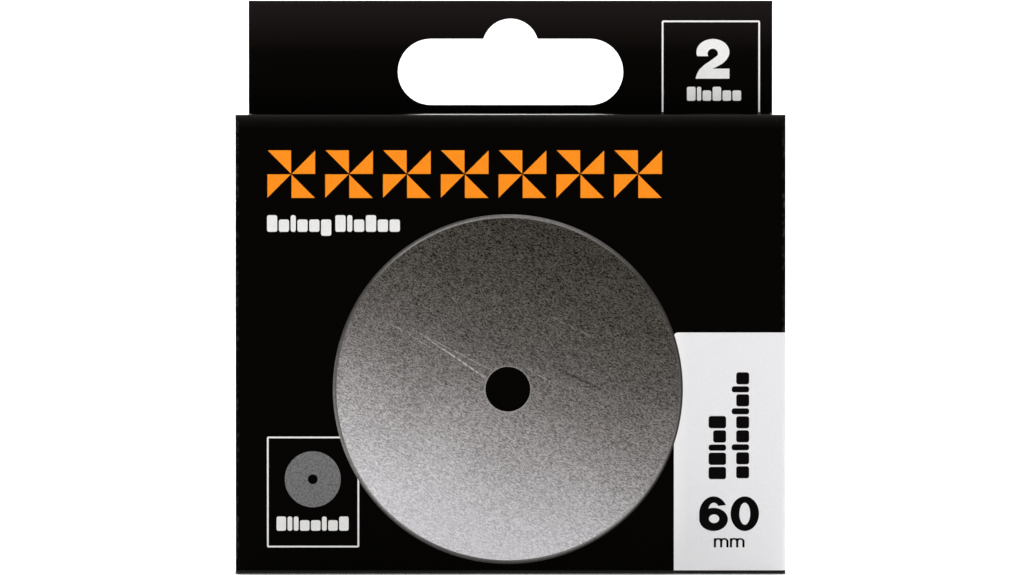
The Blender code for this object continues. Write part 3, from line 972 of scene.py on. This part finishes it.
def make_lid(material):
    """Clear lid with soft corners, a fluted skirt and a hub ring that holds the blades."""
    outer = LID_HIGH.x - 0.02 * MM
    boss = 28.7 * MM
    front, back = LID_LOW.y, LID_HIGH.y
    dish = front + 0.25 * MM  # the shallow middle of the boss
    face = front + 0.7 * MM
    plate = 1.0 * MM
    wall = 1.2 * MM
    hub_inner, hub_outer = 4.3 * MM, 6.7 * MM
    hub_back = -0.85 * MM
    corners = [  # radius, depth and how much the corner is rounded
        (0, dish, 0), (boss - 9 * MM, dish, 0.5), (boss - 8 * MM, front, 1),
        (boss, front, 1), (boss, face, 0.5), (outer, face, 1.5),
        (outer, back, 0.6), (outer - wall, back, 0.6), (outer - wall, face + plate, 0.6),
        (boss - plate, face + plate, 0.5), (boss - plate, front + plate, 0.5),
        (hub_outer, front + plate, 0.5), (hub_outer, hub_back, 0.5),
        (hub_inner, hub_back, 0.5), (hub_inner, front + plate, 0.5), (0, front + plate, 0),
    ]
    flutes = 64
    flute_depth = 0.16 * MM

    def fluted(radius, y, angle):
        if radius < outer - 0.4 * MM or y < face + 0.8 * MM:
            return radius
        return radius - flute_depth * (1 - math.cos(flutes * angle))

    shape = turned(rounded(corners, 0.3 * MM), flutes * 6, fluted)
    lid = add_piece("lid", shape, [material], "lid")
    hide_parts("case_lid")


def make_blades(material):
    """The two blades, ground to an edge, with a broken edge round the bore."""
    bevel = 1.0 * MM
    chamfer = 0.05 * MM
    bore = 4.0 * MM
    for number, body in ((1, "blade_front"), (2, "blade_rear")):
        low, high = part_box(f"blade_{number}")
        radius, shoulder = high.x, high.x - bevel
        profile = [
            (bore + chamfer, low.y), (shoulder, low.y), (radius, (low.y + high.y) / 2),
            (shoulder, high.y), (bore + chamfer, high.y), (bore, high.y - chamfer),
            (bore, low.y + chamfer),
        ]
        shape = turned([Vector(point) for point in profile], 256)
        name = f"coated_blade_{number}"
        blade = add_piece(name, shape, [material], body, sharp=4)
        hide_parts(f"blade_{number}")


# ---- artwork


def pinwheels(sheet, left, right, low, high, blocks):
    """A strip of pinwheel blocks, a traditional patchwork border."""
    half = (high - low) / 2
    pitch = (right - left - 2 * half) / (blocks - 1)
    for number in range(blocks):
        centre = Vector((left + half + number * pitch, low + half))
        for quarter in range(4):
            turn = Matrix.Rotation(quarter * math.pi / 2, 2)
            vane = [(0.02 * half, 0.01 * half), (half, 0.01 * half), (half, half * 0.99)]
            sheet.film([centre + turn @ Vector(point) for point in vane])


def print_front(white, orange, black, picture, rim, tile):
    """The sleeve's front: motif, words, outline box, pictured blades and size."""
    sheet = front_sheet(1)
    sheet.box(-41.75, -25.93, 4.58, 23.62, 0.3)
    sheet.word(-41.7, -30.7, 58.75, 61.6, "Txlxxy")
    sheet.word(-30.0, -18.95, 58.75, 61.6, "TlxTxx")
    sheet.word(-40.1, -27.75, 7.45, 9.89, "TllxxlxT")
    sheet.finish("front_white_print", white)

    sheet = front_sheet(1)
    pinwheels(sheet, -41.62, 25.93, 64.56, 72.72, 7)
    sheet.finish("front_orange_print", orange)

    centre = [place / MM for place in PICTURE_CENTRE]
    rim_start = (PICTURE_RADIUS - RIM_WIDTH) / MM
    sheet = front_sheet(2)
    sheet.disc(*centre, rim_start, PICTURED_BORE / MM, 256)
    sheet.finish("front_blade_picture", picture)
    sheet = front_sheet(2)
    sheet.disc(*centre, PICTURE_RADIUS / MM, rim_start, 256)
    sheet.finish("front_blade_rim", rim)
    sheet = front_sheet(2)
    sheet.disc(-33.89, 16.29, 4.8, 0.84)
    sheet.finish("front_small_picture", tile)

    sheet = front_sheet(3)
    sheet.word(33.95, 36.95, 16.3, 27.15, "TTlxT", upright=True)
    sheet.word(37.9, 40.9, 16.45, 34.65, "xxlxxlxlx", upright=True)
    sheet.glyph(figure_6, 32.35, 37.27, 7.4, 13.35)
    sheet.glyph(figure_0, 37.72, 42.6, 7.4, 13.35)
    sheet.glyph(letter_m, 34.85, 37.38, 4.58, 6.2)
    sheet.glyph(letter_m, 37.6, 40.13, 4.58, 6.2)
    sheet.finish("front_black_print", black)


def print_panel(material):
    """The pale panel, which runs round the right-hand crease on to the side wall."""
    offset = SKIN - INK / 2
    front_y = FRONT + offset
    side_x = HALF_WIDTH - offset
    corner = 0.7 * MM
    path = [(PANEL_LEFT, front_y), (side_x, front_y), (side_x, BACK - 0.9 * MM)]
    bent = flipped(bent_path(path, FOLD + THICK / 2, steps=8))
    rounding = [PANEL_LEFT + corner * share for share in (0.0, 0.03, 0.12, 0.3, 0.55, 1.0)]
    stations = [(Vector((x, front_y)), bent[0][1]) for x in rounding] + bent[1:]

    def top(number):
        gap = max(PANEL_LEFT + corner - stations[number][0].x, 0.0)
        return PANEL_HIGH - corner + math.sqrt(max(corner**2 - gap**2, 0.0))

    shape = bmesh.new()
    add_board(shape, stations, INK, PANEL_LOW, top, upwards)
    add_piece("front_size_panel", shape, [material] * 3, "sleeve")


def print_paragraph(sheet, left, width, top):
    """Four rows of small words, the last one shorter."""
    rows = ("TxxlxTxlxxTlx", "xlxTxxlxyxxTx", "xxTlxxyxlTxxl", "Txlxxlxx")
    for row, pattern in enumerate(rows):
        low = top - 2.3 * row
        reach = width if len(pattern) > 8 else width - 13.0
        unit = (reach - 2.0) / len(pattern)
        begin = left
        for word in filter(None, (pattern[:3], pattern[3:8], pattern[8:])):
            end = begin + unit * len(word)
            sheet.word(begin, end - 0.7, low, low + 1.25, word)
            begin = end


def print_back(white, orange, black):
    """The sleeve's back: motif, words, three plain pictures, a bar block and the size."""
    sheet = back_sheet(1)
    pinwheels(sheet, -41.6, -11.5, 68.0, 72.4, 5)
    sheet.bar(-41.6, 41.6, 61.0, 61.45)
    sheet.finish("back_orange_print", orange)

    sheet = back_sheet(1)
    sheet.word(-9.0, 1.5, 68.8, 71.4, "Txlxxy")
    sheet.word(2.3, 12.8, 68.8, 71.4, "TlxTxx")
    for block, top in enumerate((57.0, 45.0, 33.0)):
        print_paragraph(sheet, 4.0, 39.0 - block, top)
    for left in (-41.6, -27.4, -13.2):
        sheet.box(left, left + 12.6, 38.0, 58.4, 0.35)
    # The lid over its case, the blades with their papers, and a blade on a cutter's post
    sheet.disc(-35.3, 53.0, 4.0, 3.6, 48)
    sheet.disc(-35.3, 43.4, 4.0, 0.7, 48)
    for low in (41.0, 45.2, 49.4, 53.6):
        sheet.bar(-26.0, -16.2, low, low + 0.5)
    sheet.disc(-6.9, 49.6, 4.6, 0.9, 48)
    sheet.bar(-8.4, -5.4, 39.4, 44.0)
    sheet.box(-41.6, -2.6, 5.0, 34.0, 0.43)
    sheet.glyph(figure_6, -37.5, -29.6, 17.0, 26.5)
    sheet.glyph(figure_0, -28.8, -21.0, 17.0, 26.5)
    sheet.glyph(letter_m, -18.6, -13.6, 17.0, 20.2)
    sheet.glyph(letter_m, -13.1, -8.1, 17.0, 20.2)
    sheet.word(-37.5, -20.0, 10.2, 12.6, "TxlxxyTx")
    sheet.bar(3.6, 41.6, 5.0, 22.0, 0.5)
    sheet.finish("back_white_print", white)

    sheet = back_sheet(2)
    begin = 6.6
    for number in range(24):
        width = 0.3 + 0.28 * (number * 7 % 4)
        sheet.bar(begin, begin + width, 6.8, 20.2, 0.01)
        begin += width + 0.28 + 0.2 * (number * 5 % 3)
    sheet.finish("back_black_print", black)


def print_header(white):
    """The header's front: the number of blades in an open box."""
    sheet = header_sheet()
    sheet.arch(25.97, 42.85, LEDGE_HIGH.z / MM + 0.1, 94.65, 0.3)
    sheet.glyph(figure_2, 31.72, 37.68, 84.65, 91.47)
    sheet.word(30.3, 39.6, 80.85, 83.25, "TlxTxx")
    sheet.finish("header_white_print", white)


# ---- studio


def place_facing(item, place, target):
    """Put a lamp or camera at a place, looking at a target."""
    item.location = place
    item.rotation_euler = (Vector(target) - Vector(place)).to_track_quat("-Z", "Y").to_euler()
    return item


def add_area(name, place, size, watts, spread=75, target=(0, 0, SLEEVE_TOP / 2)):
    """A rectangular softbox, with its spread in degrees. Most face the sleeve's middle."""
    lamp = bpy.data.lights.new(name, "AREA")
    lamp.shape = "RECTANGLE"
    lamp.size, lamp.size_y = size
    lamp.energy = watts
    lamp.spread = math.radians(spread)
    place_facing(add_object(name, lamp), place, target).visible_camera = False


def make_world():
    """Pale light from all round, a little dimmer in front."""
    world = bpy.data.worlds.new("studio")
    world.use_nodes = True
    bpy.context.scene.world = world
    tree = world.node_tree
    place = add_node(tree, "ShaderNodeTexCoord").outputs["Generated"]
    depth = add_node(tree, "ShaderNodeSeparateXYZ", {0: place}).outputs["Y"]
    share = add_node(tree, "ShaderNodeMapRange", {0: depth, 1: -1.0}).outputs[0]
    light = add_ramp(tree, share, ((0.2, 0.64), (0.8, 0.74)))
    tree.links.new(light, tree.nodes["Background"].inputs["Color"])


def make_studio(floor_finish):
    """Softboxes round the pack, and a wash on the floor behind it."""
    bpy.context.scene.view_settings.view_transform = "Standard"
    make_world()
    shape = bmesh.new()
    bmesh.ops.create_circle(shape, cap_ends=True, radius=12.0, segments=96)
    floor = add_piece("floor", shape, [floor_finish], None, weighted=False)
    add_area("key_left", (-1.15, -0.66, 0.40), (0.6, 0.7), 0.33)
    add_area("key_right", (1.15, -0.66, 0.40), (0.6, 0.7), 0.33)
    add_area("fill", (0, -1.02, 1.07), (0.9, 0.4), 0.5)
    add_area("top", (0, 0.35, 0.85), (0.9, 0.3), 1.2)
    add_area("back", (0, 1.05, 0.40), (0.5, 0.3), 1.8, spread=90)
    add_area("floor_wash", (0, 2.3, 1.2), (1.6, 3.2), 21.0, spread=90, target=(0, 2.3, 0))


def make_camera():
    """Far back and slightly above, so that the pack's sides stay upright."""
    distance = 3.0
    rise = math.radians(2.3)
    view_width = 174.9 * MM  # at the pack's front
    centre_z = 49.2 * MM
    height = SLEEVE_TOP + distance * math.tan(rise)
    camera = bpy.data.cameras.new("camera")
    camera.sensor_width = 36.0
    camera.lens = camera.sensor_width * math.hypot(distance, height - centre_z) / view_width
    camera.clip_end = 50.0
    holder = add_object("camera", camera)
    place_facing(holder, (0, FRONT - distance, height), (0, FRONT, centre_z))
    bpy.context.scene.camera = holder


def finish_part(name, material):
    """A new material on a part whose shape stays as the frame has it."""
    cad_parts[name].data.materials[0] = material


def main():
    make_camera()
    inside = inside_board_material()
    cut = cut_board_material("board_cut_edge", srgb(40, 38, 36), srgb(20, 19, 18))
    sleeve_print = printed_board_material("sleeve_print", srgb(4, 3, 2))
    tray_print = printed_board_material("tray_print", srgb(3, 2, 2), header=True)
    make_sleeve([sleeve_print, inside, cut])
    make_closure([sleeve_print, inside, cut])
    make_tray([tray_print, inside, cut])
    for name in ("sleeve_glue_flap", "dust_flap_left", "dust_flap_right"):
        finish_part(name, inside)
    finish_part("case_base", base_plastic_material())
    paper = paper_material()
    finish_part("paper_disc_1", paper)
    finish_part("paper_disc_2", paper)
    make_lid(lid_plastic_material())
    make_blades(blade_material())

    white = ink_material("white_ink", srgb(229, 228, 226), 0.03)
    orange = ink_material("orange_ink", srgb(249, 142, 32), 0.04)
    black = ink_material("black_ink", srgb(9, 8, 8), 0.1)
    tile = ink_material("grey_ink", srgb(110, 109, 110), 0.35)
    panel = panel_ink_material()
    print_front(white, orange, black, pictured_blade_material(), rim_material(), tile)
    print_panel(panel)
    print_header(ink_material("header_white_ink", srgb(246, 245, 243), 0.03))
    print_back(white, orange, black)
    make_studio(floor_material())


main()
